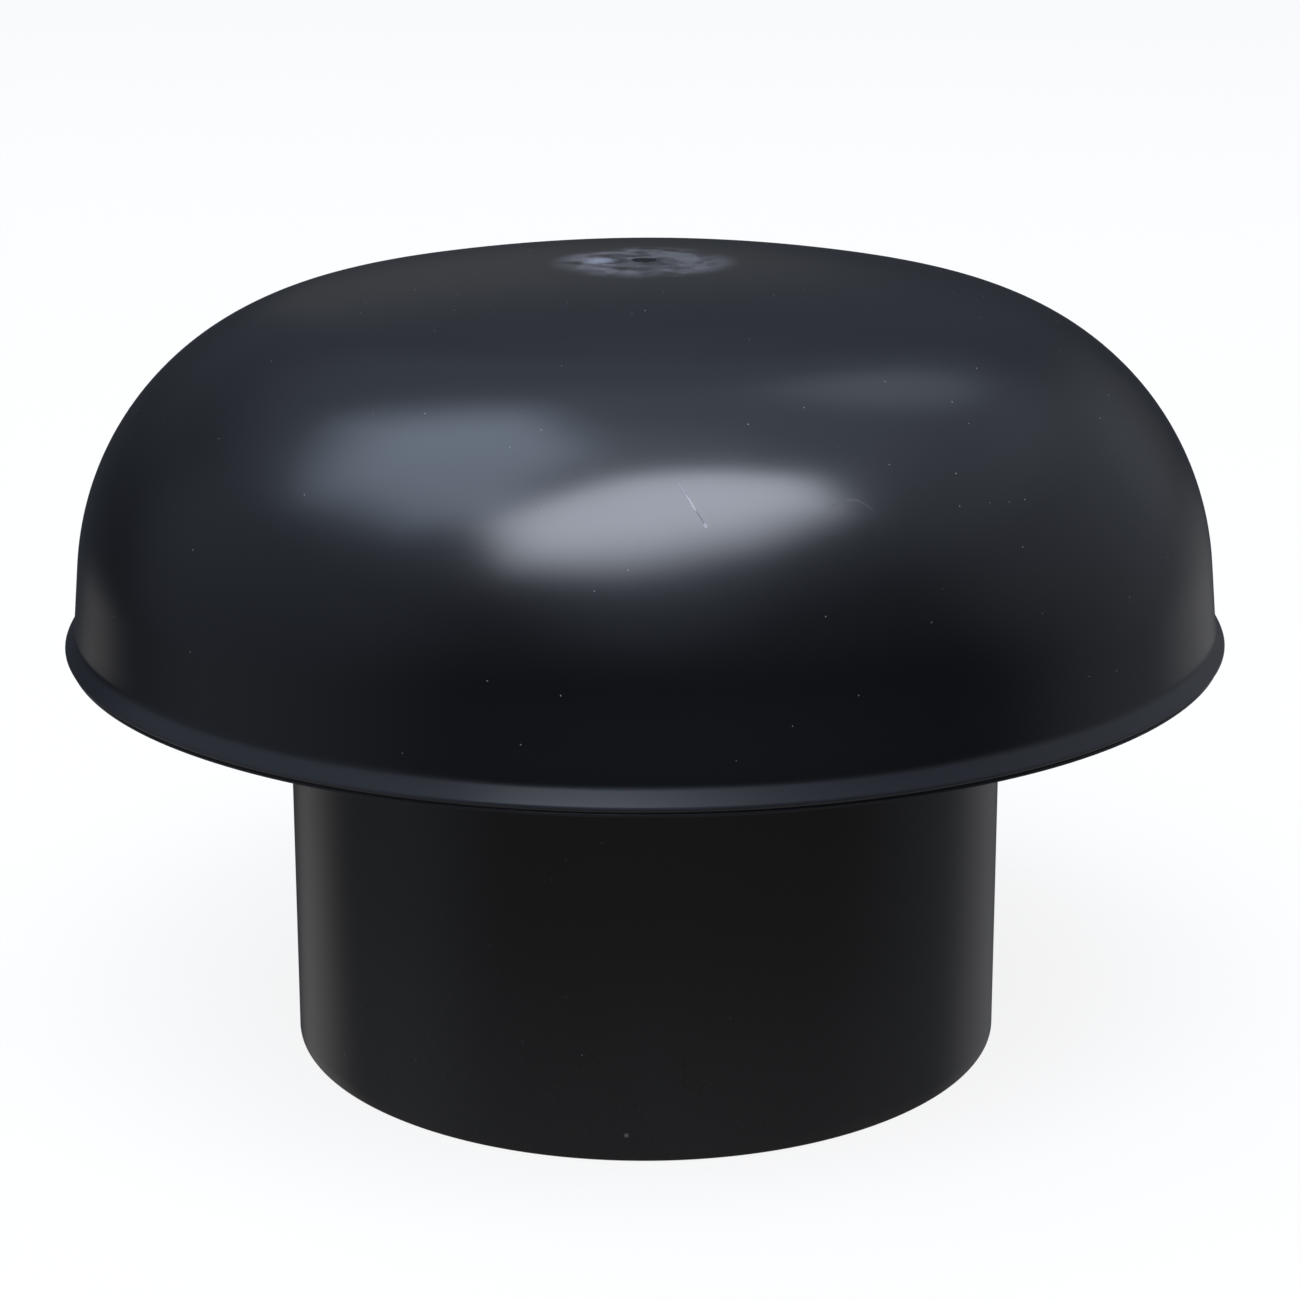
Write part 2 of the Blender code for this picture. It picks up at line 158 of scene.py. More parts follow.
def rounded(corners, steps=4):
    """A closed outline through (radius, height, fillet) corners, each rounded by an arc of that fillet."""
    points = []
    befores = corners[-1:] + corners[:-1]
    afters = corners[1:] + corners[:1]
    for before, corner, after in zip(befores, corners, afters):
        here = Vector(corner[:2])
        fillet = corner[2]
        if not fillet:
            points.append(tuple(here))
            continue
        to_before = (Vector(before[:2]) - here).normalized()
        to_after = (Vector(after[:2]) - here).normalized()
        half_angle = to_before.angle(to_after) / 2
        reach = fillet / math.tan(half_angle)
        centre = here + (to_before + to_after).normalized() * fillet / math.sin(half_angle)
        first = here + to_before * reach - centre
        last = here + to_after * reach - centre
        points += [tuple(centre + fillet * first.slerp(last, step / steps)) for step in range(steps + 1)]
    return points


def turned(points, sides, closed=True):
    """Turns a (radius, height) outline about +Z. An open outline starts and ends on the axis."""
    bm = bmesh.new()
    angles = [math.tau * side / sides for side in range(sides)]
    rings = []
    for radius, height in points:
        if radius < 0.001 * MM:
            rings.append([bm.verts.new((0, 0, height))] * sides)
        else:
            places = [(radius * math.cos(angle), radius * math.sin(angle), height) for angle in angles]
            rings.append([bm.verts.new(place) for place in places])
    neighbours = rings[1:] + rings[:1] if closed else rings[1:]
    for near, far in zip(rings, neighbours):
        for side in range(sides):
            after = (side + 1) % sides
            bm.faces.new(dict.fromkeys((near[side], far[side], far[after], near[after])))
    bmesh.ops.recalc_face_normals(bm, faces=bm.faces)
    return bm


def add_prism(bm, corners, sweep, bevel, azimuth=0.0):
    """Adds the bevelled solid that a flat outline fills as it moves along sweep, turned about +Z."""
    turn = Matrix.Rotation(azimuth, 3, "Z")
    near = [bm.verts.new(turn @ Vector(corner)) for corner in corners]
    far = [bm.verts.new(turn @ (Vector(corner) + Vector(sweep))) for corner in corners]
    faces = [bm.faces.new(near), bm.faces.new(far[::-1])]
    faces += [bm.faces.new((near[n - 1], far[n - 1], far[n], near[n])) for n in range(len(corners))]
    bmesh.ops.recalc_face_normals(bm, faces=faces)
    edges = list(dict.fromkeys(edge for face in faces for edge in face.edges))
    bmesh.ops.bevel(
        bm, geom=edges, offset=bevel, segments=2, profile=0.5, affect="EDGES", clamp_overlap=True
    )


def mesh_from(name, bm, sharp_angle=35):
    """A smooth-shaded mesh of bm, with edges sharper than sharp_angle in degrees kept crisp. Frees bm."""
    bmesh.ops.recalc_face_normals(bm, faces=bm.faces)
    mesh = bpy.data.meshes.new(name)
    bm.to_mesh(mesh)
    bm.free()
    mesh.shade_smooth()
    mesh.set_sharp_from_angle(angle=math.radians(sharp_angle))
    return mesh


def combined(base, *steps):
    """The mesh that is left when each (operation, mesh) in turn is joined to base or cut from it."""
    holder = bpy.data.objects.new("holder", base)
    bpy.context.scene.collection.objects.link(holder)
    guides = []
    for operation, mesh in steps:
        guide = bpy.data.objects.new("guide", mesh)
        bpy.context.scene.collection.objects.link(guide)
        guides.append(guide)
        modifier = holder.modifiers.new("combine", "BOOLEAN")
        modifier.operation = operation
        modifier.object = guide
        modifier.solver = "EXACT"
    bpy.context.view_layer.update()
    evaluated = holder.evaluated_get(bpy.context.evaluated_depsgraph_get())
    result = bpy.data.meshes.new_from_object(evaluated)
    for used in [holder, *guides]:
        bpy.data.objects.remove(used, do_unlink=True)
    result.shade_smooth()
    result.set_sharp_from_angle(angle=math.radians(35))
    return result


def smooth_step(value, low, high):
    """Rises smoothly from 0 at low to 1 at high."""
    share = min(1.0, max(0.0, (value - low) / (high - low)))
    return share * share * (3 - 2 * share)


def collar_radius(height):
    return COLLAR_FOOT_RADIUS - COLLAR_DRAFT * height


def dome_height(radius, depth):
    """Height of the shoulder's surface, depth below its outside, at a distance from the axis."""
    across = radius - SHOULDER_CENTRE_RADIUS
    return SHOULDER_CENTRE_HEIGHT + math.sqrt((SHOULDER_RADIUS - depth) ** 2 - across**2)


# ---------------------------------------------------------------- hood


def dome_outline(depth, shoulder_end, gate_steps, crown_steps, shoulder_steps):
    """The dome's outline, depth below its outer surface, from the axis out to the shoulder's end angle."""
    radius = CROWN_RADIUS - depth
    centre = (0, CROWN_CENTRE_HEIGHT)
    dimple_edge = math.acos(1.3 * GATE_RADIUS / radius)  # the closest rows reach a little past the dimple
    gate_edge = math.acos(GATE_RELIEF_RADIUS / radius)
    dimple = arc(centre, radius, math.pi / 2, dimple_edge, gate_steps // 2)
    gate = arc(centre, radius, dimple_edge, gate_edge, gate_steps)
    crown = arc(centre, radius, gate_edge, ARC_JUNCTION, crown_steps)
    hub = (SHOULDER_CENTRE_RADIUS, SHOULDER_CENTRE_HEIGHT)
    reach = SHOULDER_RADIUS - depth
    shoulder = arc(hub, reach, ARC_JUNCTION, shoulder_end, shoulder_steps)
    return dimple + gate[1:] + crown[1:] + shoulder[1:]


def hood_outline():
    """The dome, its drafted wall, the flared bead with a thin lip under it, and the inner surface."""
    dome = dome_outline(0, WALL_DRAFT, gate_steps=36, crown_steps=26, shoulder_steps=48)
    wall_top = Vector(dome[-1])
    bead_top = Vector((RIM_RADIUS - BEAD_WIDTH, RIM_HEIGHT + BEAD_HEIGHT))
    wall = [(*wall_top.lerp(bead_top, step / 4), 0) for step in range(1, 4)]
    inner_foot = WALL_RADIUS - HOOD_WALL
    lip_radius = RIM_RADIUS - LIP_INSET
    rim = rounded(
        [
            *wall,
            (*bead_top, BEAD_FILLET),
            (RIM_RADIUS - 0.16 * MM, RIM_HEIGHT + 1.5 * MM, 1.0 * MM),
            (RIM_RADIUS, RIM_HEIGHT + 1.1 * MM, 0.15 * MM),
            (lip_radius - 0.2 * MM, RIM_HEIGHT + LIP_HEIGHT + 0.05 * MM, 0.05 * MM),
            (lip_radius, RIM_HEIGHT + LIP_HEIGHT, 0.1 * MM),
            (lip_radius, RIM_HEIGHT, 0.1 * MM),
            (inner_foot, RIM_HEIGHT, 0.25 * MM),
            (inner_foot, SHOULDER_CENTRE_HEIGHT, 0),
        ]
    )
    inner = dome_outline(HOOD_WALL, 0, gate_steps=4, crown_steps=10, shoulder_steps=28)
    return dome + rim[:-1] + inner[::-1]


def gate_relief(place):
    """Height that the moulding gate's dimple and the lumps of plastic around it add to the crown."""
    radius = place.xy.length
    dimple = -GATE_DEPTH * (1 - smooth_step(radius, 0.84 * GATE_RADIUS, GATE_RADIUS))
    azimuth = math.atan2(place.y, place.x)
    spokes = noise.noise(Vector((2.2 * math.cos(azimuth), 2.2 * math.sin(azimuth), radius / (9 * MM))))
    lumps = noise.noise(place / (5.5 * MM))
    reach = 1 - smooth_step(radius, 0.5 * GATE_RELIEF_RADIUS, GATE_RELIEF_RADIUS)
    return dimple + GATE_RELIEF_HEIGHT * reach * (0.8 * lumps + 0.7 * spokes)


def surface_wave(place):
    """The long, shallow waves that cooling leaves in a moulded wall."""
    wave = WAVE_HEIGHT * noise.noise(place / WAVE_LENGTH)
    ripple = RIPPLE_HEIGHT * noise.noise(place / RIPPLE_LENGTH)
    return wave + ripple


def on_shoulder(place):
    """The place on the hood's waved shoulder that is nearest to a place close by."""
    azimuth = math.atan2(place.y, place.x)
    across = place.xy.length - SHOULDER_CENTRE_RADIUS
    tilt = math.atan2(place.z - SHOULDER_CENTRE_HEIGHT, across)
    normal = Vector((math.cos(tilt) * math.cos(azimuth), math.cos(tilt) * math.sin(azimuth), math.sin(tilt)))
    ring = Vector((math.cos(azimuth), math.sin(azimuth), 0)) * SHOULDER_CENTRE_RADIUS
    surface = ring + Vector((0, 0, SHOULDER_CENTRE_HEIGHT)) + SHOULDER_RADIUS * normal
    return surface + surface_wave(surface) * normal


def hood_mesh():
    """The waved shell with the gate mark in its crown, joined to the four posts and their webs."""
    shell = turned(hood_outline(), SHELL_SIDES, closed=False)
    shell.normal_update()
    crown_middle = CROWN_HEIGHT - HOOD_WALL / 2
    for vert in shell.verts:
        lift = surface_wave(vert.co)
        if vert.co.z > crown_middle and vert.co.xy.length < GATE_RELIEF_RADIUS:
            lift += gate_relief(vert.co)
        vert.co += vert.normal * lift

    webs = bmesh.new()
    centre = (SHOULDER_CENTRE_RADIUS, SHOULDER_CENTRE_HEIGHT)
    buried = SHOULDER_RADIUS - EMBED
    wall_end = math.asin((WEB_OUTER_HEIGHT - SHOULDER_CENTRE_HEIGHT) / buried)
    post_end = math.acos((POST_CIRCLE_RADIUS - SHOULDER_CENTRE_RADIUS) / buried)
    web_top = arc(centre, buried, wall_end, post_end, 10)
    outline = [(POST_CIRCLE_RADIUS, WEB_INNER_HEIGHT), *web_top]
    for azimuth in POST_AZIMUTHS:
        corners = [(x, -WEB_THICKNESS / 2, z) for x, z in outline]
        add_prism(webs, corners, (0, WEB_THICKNESS, 0), 0.3 * MM, azimuth)

    posts = bmesh.new()
    post_outline = rounded(
        [
            (PILOT_RADIUS, PILOT_END, 0),
            (PILOT_RADIUS, POST_FOOT, 0.3 * MM),
            (POST_RADIUS, POST_FOOT, 0.5 * MM),
            (POST_RADIUS, POST_TOP, 0),
        ]
    )
    for azimuth in POST_AZIMUTHS:
        post = turned([(0, PILOT_END), *post_outline, (0, POST_TOP)], 48, closed=False)
        bmesh.ops.rotate(post, verts=post.verts, cent=(0, 0, 0), matrix=Matrix.Rotation(azimuth, 3, "Z"))
        away = Vector((math.cos(azimuth), math.sin(azimuth), 0)) * POST_CIRCLE_RADIUS
        bmesh.ops.translate(post, verts=post.verts, vec=away)
        for vert in post.verts:
            at_top = vert.co.z > POST_TOP - 0.1 * MM
            if at_top and (vert.co - away).xy.length > PILOT_RADIUS + 0.1 * MM:
                vert.co.z = dome_height(vert.co.xy.length, EMBED)
        post_mesh = bpy.data.meshes.new("post")
        post.to_mesh(post_mesh)
        post.free()
        posts.from_mesh(post_mesh)
    return combined(
        mesh_from("hood_shell", shell),
        ("UNION", mesh_from("webs", webs)),
        ("UNION", mesh_from("posts", posts)),
    )


# ---------------------------------------------------------------- collar


def collar_outline():
    top = collar_radius(COLLAR_HEIGHT)
    stop_radius = PIPE_BORE_RADIUS - COLLAR_DRAFT * SOCKET_DEPTH
    heights = [COLLAR_HEIGHT * row / COLLAR_ROWS for row in range(1, COLLAR_ROWS)]
    return rounded(
        [
            (collar_radius(0), 0, 0.25 * MM),
            *[(collar_radius(height), height, 0) for height in heights],
            (top, COLLAR_HEIGHT, 0.45 * MM),
            (UPPER_BORE_RADIUS, COLLAR_HEIGHT, 0.45 * MM),
            (UPPER_BORE_RADIUS, STOP_TOP, 0.6 * MM),
            (STOP_BORE_RADIUS, STOP_TOP, 0.4 * MM),
            (STOP_BORE_RADIUS, SOCKET_DEPTH, 0.4 * MM),
            (stop_radius, SOCKET_DEPTH, 0.6 * MM),
            (PIPE_BORE_RADIUS, MOUTH_BEVEL, 0.3 * MM),
            (PIPE_BORE_RADIUS + MOUTH_BEVEL, 0, 0.15 * MM),
        ]
    )


def collar_mesh():
    """The pipe socket, joined to four drilled lugs with two gussets under each."""
    shell = turned(collar_outline(), SHELL_SIDES)
    root = collar_radius(COLLAR_HEIGHT) - EMBED
    lugs = bmesh.new()
    gussets = bmesh.new()
    holes = bmesh.new()
    for azimuth in POST_AZIMUTHS:
        tip = arc((POST_CIRCLE_RADIUS, 0), LUG_HALF_WIDTH, -math.pi / 2, math.pi / 2, 24)
        outline = [(root, -LUG_HALF_WIDTH), *tip, (root, LUG_HALF_WIDTH)]
        corners = [(x, y, LUG_UNDERSIDE) for x, y in outline]
        # The lugs stop just below the collar's top, so that no two faces lie in one plane
        add_prism(lugs, corners, (0, 0, LUG_THICKNESS - 0.05 * MM), 0.4 * MM, azimuth)
        for side in (-1, 1):
            middle = side * (LUG_HALF_WIDTH - 0.6 * MM - GUSSET_THICKNESS / 2)
            high = LUG_UNDERSIDE + LUG_THICKNESS / 2
            outer = POST_CIRCLE_RADIUS - 1 * MM
            toe = LUG_UNDERSIDE - 1 * MM
            shape = [(root, high), (outer, high), (outer, toe), (root, high - GUSSET_DEPTH)]
            corners = [(x, middle - GUSSET_THICKNESS / 2, z) for x, z in shape]
            add_prism(gussets, corners, (0, GUSSET_THICKNESS, 0), 0.25 * MM, azimuth)
        hole_place = Matrix.Translation((POST_CIRCLE_RADIUS, 0, LUG_UNDERSIDE))
        bmesh.ops.create_cone(
            holes, cap_ends=True, segments=48, radius1=LUG_HOLE_RADIUS, radius2=LUG_HOLE_RADIUS,
            depth=4 * LUG_THICKNESS, matrix=Matrix.Rotation(azimuth, 4, "Z") @ hole_place,
        )
    return combined(
        mesh_from("collar_shell", shell),
        ("UNION", mesh_from("lugs", lugs)),
        ("UNION", mesh_from("gussets", gussets)),
        ("DIFFERENCE", mesh_from("lug_holes", holes)),
    )


def gasket_mesh():
    edge = 0.35 * MM
    outline = rounded(
        [
            (gasket_high.x, gasket_low.z, edge),
            (gasket_high.x, gasket_high.z, edge),
            (STOP_BORE_RADIUS + 0.3 * MM, gasket_high.z, edge),
            (STOP_BORE_RADIUS + 0.3 * MM, gasket_low.z, edge),
        ]
    )
    return mesh_from("gasket", turned(outline, 192))


# ---------------------------------------------------------------- screws and washers


def thread_radius(height, azimuth):
    """Radius of the screw's shank: a coarse V thread that runs out under the head and into the point."""
    turn = (height / THREAD_PITCH - azimuth / math.tau) % 1.0
    crest = max(0.0, 1 - abs(turn - 0.5) / THREAD_HALF_WIDTH)
    under_head = smooth_step(height, 0.2 * MM, 1.6 * MM)
    to_point = 1 - smooth_step(height, SCREW_LENGTH - 0.8 * MM, SCREW_LENGTH)
    root = THREAD_ROOT_RADIUS
    taper_start = SCREW_LENGTH - SCREW_TIP_LENGTH
    if height > taper_start:
        root *= max(0.02, 1 - (height - taper_start) / SCREW_TIP_LENGTH)
    reach = min(1.0, (root + 0.5 * MM) / THREAD_RADIUS)
    return root + (THREAD_RADIUS - THREAD_ROOT_RADIUS) * crest * under_head * to_point * reach


def screw_mesh():
    """Pan head screw with its seat at the origin, its head below and its point up."""
    head = rounded(
        [
            (0.0, -SCREW_HEAD_HEIGHT, 0),
            (0.58 * SCREW_HEAD_RADIUS, -SCREW_HEAD_HEIGHT, 1.6 * MM),
            (SCREW_HEAD_RADIUS, -0.5 * SCREW_HEAD_HEIGHT, 0.9 * MM),
            (SCREW_HEAD_RADIUS, 0.0, 0.2 * MM),
            (THREAD_ROOT_RADIUS, 0.0, 0),
        ],
        6,
    )
    rows = 132
    shank = [(THREAD_ROOT_RADIUS, SCREW_LENGTH * row / rows) for row in range(1, rows)]
    screw = turned([*head, *shank, (0, SCREW_LENGTH)], 32, closed=False)
    for vert in screw.verts:
        if vert.co.z > 0.01 * MM and vert.co.xy.length > 0.1 * MM:
            azimuth = math.atan2(vert.co.y, vert.co.x)
            radius = thread_radius(vert.co.z, azimuth)
            vert.co.x = radius * math.cos(azimuth)
            vert.co.y = radius * math.sin(azimuth)
    blades = []
    for half_x, half_y in ((RECESS_REACH, RECESS_HALF_WIDTH), (RECESS_HALF_WIDTH, RECESS_REACH)):
        blade = bmesh.new()
        block = bmesh.ops.create_cube(blade, size=2)["verts"]
        for vert in block:
            spread = 0.75 if vert.co.z > 0 else 1.25
            vert.co.x *= spread * half_x
            vert.co.y *= spread * half_y
            vert.co.z = vert.co.z * RECESS_DEPTH - SCREW_HEAD_HEIGHT
        blades.append(("DIFFERENCE", mesh_from("recess_blade", blade)))
    return combined(mesh_from("screw_blank", screw, 50), *blades)


def washer_mesh():
    outer = (washer_high.x - washer_low.x) / 2
    thickness = washer_high.z - washer_low.z
    edge = 0.18 * MM
    outline = rounded(
        [
            (outer, 0, edge),
            (outer, thickness, edge),
            (WASHER_HOLE_RADIUS, thickness, edge),
            (WASHER_HOLE_RADIUS, 0, edge),
        ],
        3,
    )
    return mesh_from("washer", turned(outline, 72))


# ---------------------------------------------------------------- insect screen


def screen_frame_mesh():
    foot = frame_low.z
    top = frame_high.z
    seat = top - SCREEN_LIP_THICKNESS
    ledge = foot + LEDGE_THICKNESS
    outline = rounded(
        [
            (SKIRT_RADIUS, foot, 0.5 * MM),
            (SKIRT_RADIUS, seat, 0.25 * MM),
            (frame_high.x, seat, 0.35 * MM),
            (frame_high.x, top, 0.7 * MM),
            (POCKET_RADIUS, top, 0.35 * MM),
            (POCKET_RADIUS, ledge, 0.15 * MM),
            (SCREEN_BORE_RADIUS, ledge, 0.3 * MM),
            (SCREEN_BORE_RADIUS, foot, 0.4 * MM),
        ]
    )
    return mesh_from("screen_frame_ring", turned(outline, SHELL_SIDES))


def retainer_mesh():
    low = retainer_low.z
    top = retainer_high.z
    outline = rounded(
        [
            (retainer_high.x, low, 0.3 * MM),
            (retainer_high.x, top, 0.5 * MM),
            (SCREEN_BORE_RADIUS, top, 0.6 * MM),
            (SCREEN_BORE_RADIUS, low, 0.3 * MM),
        ]
    )
    return mesh_from("retainer_ring", turned(outline, SHELL_SIDES))


def woven_mesh():
    """Plain weave of round wires that dip over and under each other, cut to a disc."""
    middle = (mesh_low.z + mesh_high.z) / 2
    reach = mesh_high.x - 0.4 * MM
    rows = int(reach / WIRE_PITCH)
    sides = 6
    verts = []
    faces = []
    for along_x in (True, False):
        for row in range(-rows, rows + 1):
            offset = row * WIRE_PITCH
            half_length = math.sqrt(reach**2 - offset**2)
            stations = max(4, int(2 * half_length / (WIRE_PITCH / 3)))
            start = len(verts)
            for station in range(stations + 1):
                along = -half_length + 2 * half_length * station / stations
                phase = math.pi * (along / WIRE_PITCH + row + (0 if along_x else 1))
                lift = WIRE_RADIUS * math.cos(phase)
                slope = -WIRE_RADIUS * math.pi / WIRE_PITCH * math.sin(phase)
                tilt = math.atan(slope)
                for side in range(sides):
                    angle = math.tau * side / sides
                    across = WIRE_RADIUS * math.cos(angle)
                    up = WIRE_RADIUS * math.sin(angle)
                    run = along - up * math.sin(tilt)
                    height = middle + lift + up * math.cos(tilt)
                    if along_x:
                        verts.append((run, offset + across, height))
                    else:
                        verts.append((offset - across, run, height))
            for station in range(stations):
                for side in range(sides):
                    here = start + station * sides
                    after = (side + 1) % sides
                    faces.append((here + side, here + after, here + sides + after, here + sides + side))
            faces.append([start + side for side in range(sides)][::-1])
            faces.append([start + stations * sides + side for side in range(sides)])
    mesh = bpy.data.meshes.new("woven_wire")
    mesh.from_pydata(verts, [], faces)
    bm = bmesh.new()
    bm.from_mesh(mesh)
    bpy.data.meshes.remove(mesh)
    return mesh_from("woven_wire", bm, 60)


# ---------------------------------------------------------------- materials

# Places of the mix node's factor and colour sockets, which share their names with its other sockets
MIX_FACTOR = 0
MIX_COLOUR_A = 6
MIX_COLOUR_B = 7
MIX_COLOUR_RESULT = 2


class Finish:
    """A material that is built up in layers. Each layer has its own colour, roughness and height."""

    def __init__(self, name, colour, roughness, metallic=0.0):
        self.material = bpy.data.materials.new(name)
        self.material.use_nodes = True
        self.tree = self.material.node_tree
        self.shader = self.tree.nodes["Principled BSDF"]
        self.shader.inputs["Metallic"].default_value = metallic
        self.place = self.add("ShaderNodeTexCoord").outputs["Object"]
        self.colour = (*colour, 1.0)
        self.roughness = roughness
        self.height = 0.0

    def add(self, kind, sockets=None, **settings):
        """Adds a node. A socket takes a plain value or another node's output."""
        made = self.tree.nodes.new(kind)
        for name, value in settings.items():
            setattr(made, name, value)
        for name, value in (sockets or {}).items():
            if isinstance(value, bpy.types.NodeSocket):
                self.tree.links.new(value, made.inputs[name])
            else:
                made.inputs[name].default_value = value
        return made

    def math(self, operation, *values):
        made = self.add("ShaderNodeMath", dict(enumerate(values)), operation=operation)
        return made.outputs[0]

    def vector(self, operation, *values):
        made = self.add("ShaderNodeVectorMath", dict(enumerate(values)), operation=operation)
        gives_number = operation in ("LENGTH", "DISTANCE", "DOT_PRODUCT")
        return made.outputs["Value" if gives_number else "Vector"]

    def ramp(self, value, low, high, from_value=0.0, to_value=1.0):
        """Takes value smoothly from from_value at low to to_value at high."""
        sockets = {"Value": value, "From Min": low, "From Max": high}
        sockets |= {"To Min": from_value, "To Max": to_value}
        return self.add("ShaderNodeMapRange", sockets, interpolation_type="SMOOTHSTEP").outputs["Result"]

    def noise(self, size, detail=2.0, roughness=0.5, stretch=(1, 1, 1), turn=(0, 0, 0), distortion=0.0):
        """Noise whose lumps are about size across, stretched and turned."""
        turned_place = {"Vector": self.place, "Rotation": turn, "Scale": stretch}
        mapping = self.add("ShaderNodeMapping", turned_place, vector_type="POINT")
        sockets = {"Vector": mapping.outputs[0], "Scale": 1 / size, "Detail": detail}
        sockets |= {"Roughness": roughness, "Distortion": distortion}
        return self.add("ShaderNodeTexNoise", sockets).outputs["Fac"]

    def specks(self, spacing, radius, share):
        """Round specks of about the given radius, in a share of cells that are spacing across."""
        cells = self.add("ShaderNodeTexVoronoi", {"Vector": self.place, "Scale": 1 / spacing})
        near = self.ramp(cells.outputs["Distance"], radius / spacing, 0.6 * radius / spacing)
        parts = self.add("ShaderNodeSeparateColor", {"Color": cells.outputs["Color"]})
        chosen = self.math("LESS_THAN", parts.outputs[0], share)
        return self.math("MULTIPLY", near, chosen)

    def hairlines(self, size, width, cover, turn):
        """Short curved hairline scratches: lines of equal noise, broken up by larger noise."""
        field = self.noise(size, 0.0, 0.5, (1, 0.35, 0.6), turn)
        line = self.ramp(self.math("ABSOLUTE", self.math("SUBTRACT", field, 0.5)), width, 0.0)
        gaps = self.ramp(self.noise(0.8 * size, 1.0, 0.5, (1, 1, 1), turn), 1 - cover, 1.06 - cover)
        return self.math("MULTIPLY", line, gaps)

    def segment(self, start, end, width):
        """A straight scratch between two points on the surface, thinner towards its ends."""
        run = end - start
        offset = self.vector("SUBTRACT", self.place, tuple(start))
        share = self.math("DIVIDE", self.vector("DOT_PRODUCT", offset, tuple(run)), run.length_squared)
        share = self.add("ShaderNodeClamp", {"Value": share}).outputs[0]
        nearest = self.add("ShaderNodeVectorMath", {0: tuple(run), "Scale": share}, operation="SCALE")
        distance = self.vector("DISTANCE", offset, nearest.outputs[0])
        taper = self.math("MULTIPLY", share, self.math("SUBTRACT", 1.0, share))
        reach = self.math("MULTIPLY", self.math("SQRT", taper), 2 * width)
        return self.ramp(self.math("DIVIDE", distance, self.math("ADD", reach, 0.01 * MM)), 1.0, 0.3)

    def cover(self, mask, colour=None, roughness=None, height=None):
        """Lays a layer over the ones below wherever mask is above zero."""
        if colour is not None:
            sockets = {MIX_FACTOR: mask, MIX_COLOUR_A: self.colour, MIX_COLOUR_B: (*colour, 1.0)}
            mix = self.add("ShaderNodeMix", sockets, data_type="RGBA")
            self.colour = mix.outputs[MIX_COLOUR_RESULT]
        if roughness is not None:
            difference = self.math("SUBTRACT", roughness, self.roughness)
            self.roughness = self.math("ADD", self.roughness, self.math("MULTIPLY", mask, difference))
        if height is not None:
            self.height = self.math("ADD", self.height, self.math("MULTIPLY", mask, height / MM))

    def done(self):
        """Joins the layers to the shader and returns the material."""
        for name, value in (("Base Color", self.colour), ("Roughness", self.roughness)):
            if isinstance(value, bpy.types.NodeSocket):
                self.tree.links.new(value, self.shader.inputs[name])
            else:
                self.shader.inputs[name].default_value = value
        if isinstance(self.height, bpy.types.NodeSocket):
            bump = self.add("ShaderNodeBump", {"Height": self.height, "Distance": 1 * MM, "Strength": 1.0})
            self.tree.links.new(bump.outputs["Normal"], self.shader.inputs["Normal"])
        return self.material


def moulded_plastic(name, colour, roughness):
    """Satin black moulded plastic with cloudy gloss, fine grain, hairline scuffs and a little pale dust."""
    finish = Finish(name, colour, roughness)
    cloud = [1.5 * part for part in colour]
    finish.cover(finish.noise(60 * MM, 3.0), cloud, roughness + 0.03)
    finish.cover(finish.noise(7 * MM, 4.0, 0.6), roughness=roughness + 0.05)
    finish.cover(finish.noise(0.5 * MM, 2.0), height=0.0012 * MM)
    for turn in ((0.3, 0.2, 0.5), (0.9, -0.6, 2.1)):
        finish.cover(finish.hairlines(16 * MM, 0.002, 0.26, turn), (0.014, 0.015, 0.017), 0.34, -0.001 * MM)
    finish.cover(finish.specks(2.4 * MM, 0.11 * MM, 0.36), (0.22, 0.22, 0.22), 0.6, 0.006 * MM)
    return finish


